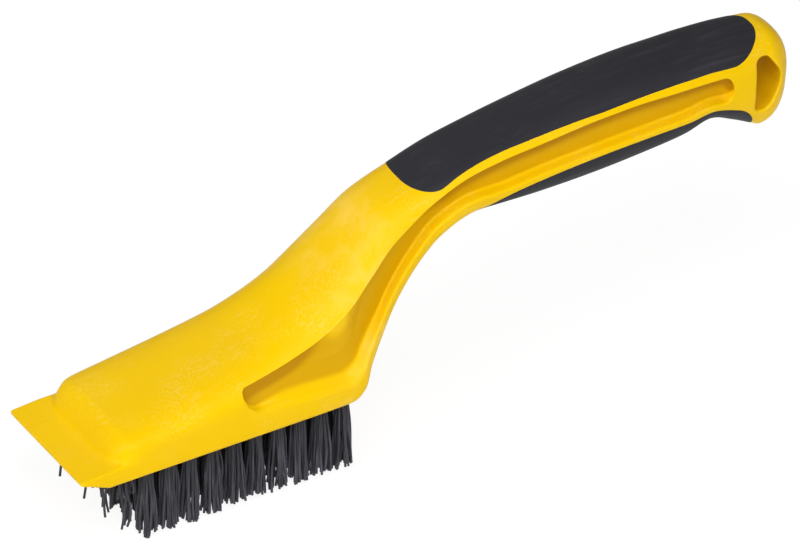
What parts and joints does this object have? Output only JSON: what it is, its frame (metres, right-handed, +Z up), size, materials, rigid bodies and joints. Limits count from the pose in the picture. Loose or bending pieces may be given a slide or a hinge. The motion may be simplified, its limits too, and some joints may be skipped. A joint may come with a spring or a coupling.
{
  "type": "stripping brush",
  "caption": "Stiff nylon stripping brush: moulded handle with cranked neck, scraper lip ahead of the bristle block, soft grip pads and a hang hole.",
  "frame": {"origin": "on the surface under the bristle tips, at the middle of the overall length and on the plane of symmetry", "axes": "+X from the scraper lip towards the knob, +Y to the left seen from the scraper looking along +X, +Z up from the bristle tips"},
  "size_m": [0.2938, 0.0504, 0.1135],
  "materials": {
    "yellow_moulding": "satin moulded polypropylene",
    "soft_grip": "matt thermoplastic elastomer",
    "bristle_nylon": "extruded nylon filament, dull"
  },
  "bodies": {
    "root": {"handle_body": "yellow_moulding", "grip_pad_top": "soft_grip", "grip_pad_under": "soft_grip", "tuft_1_01": "bristle_nylon", "tuft_1_02": "bristle_nylon", "tuft_1_03": "bristle_nylon", "tuft_1_04": "bristle_nylon", "tuft_1_05": "bristle_nylon", "tuft_1_06": "bristle_nylon", "tuft_1_07": "bristle_nylon", "tuft_1_08": "bristle_nylon", "tuft_1_09": "bristle_nylon", "tuft_1_10": "bristle_nylon", "tuft_1_11": "bristle_nylon", "tuft_2_01": "bristle_nylon", "tuft_2_02": "bristle_nylon", "tuft_2_03": "bristle_nylon", "tuft_2_04": "bristle_nylon", "tuft_2_05": "bristle_nylon", "tuft_2_06": "bristle_nylon", "tuft_2_07": "bristle_nylon", "tuft_2_08": "bristle_nylon", "tuft_2_09": "bristle_nylon", "tuft_2_10": "bristle_nylon", "tuft_2_11": "bristle_nylon", "tuft_3_01": "bristle_nylon", "tuft_3_02": "bristle_nylon", "tuft_3_03": "bristle_nylon", "tuft_3_04": "bristle_nylon", "tuft_3_05": "bristle_nylon", "tuft_3_06": "bristle_nylon", "tuft_3_07": "bristle_nylon", "tuft_3_08": "bristle_nylon", "tuft_3_09": "bristle_nylon", "tuft_3_10": "bristle_nylon", "tuft_3_11": "bristle_nylon", "tuft_4_01": "bristle_nylon", "tuft_4_02": "bristle_nylon", "tuft_4_03": "bristle_nylon", "tuft_4_04": "bristle_nylon", "tuft_4_05": "bristle_nylon", "tuft_4_06": "bristle_nylon", "tuft_4_07": "bristle_nylon", "tuft_4_08": "bristle_nylon", "tuft_4_09": "bristle_nylon", "tuft_4_10": "bristle_nylon", "tuft_4_11": "bristle_nylon", "tuft_5_01": "bristle_nylon", "tuft_5_02": "bristle_nylon", "tuft_5_03": "bristle_nylon", "tuft_5_04": "bristle_nylon", "tuft_5_05": "bristle_nylon", "tuft_5_06": "bristle_nylon", "tuft_5_07": "bristle_nylon", "tuft_5_08": "bristle_nylon", "tuft_5_09": "bristle_nylon", "tuft_5_10": "bristle_nylon", "tuft_5_11": "bristle_nylon"}
  },
  "joints": []
}
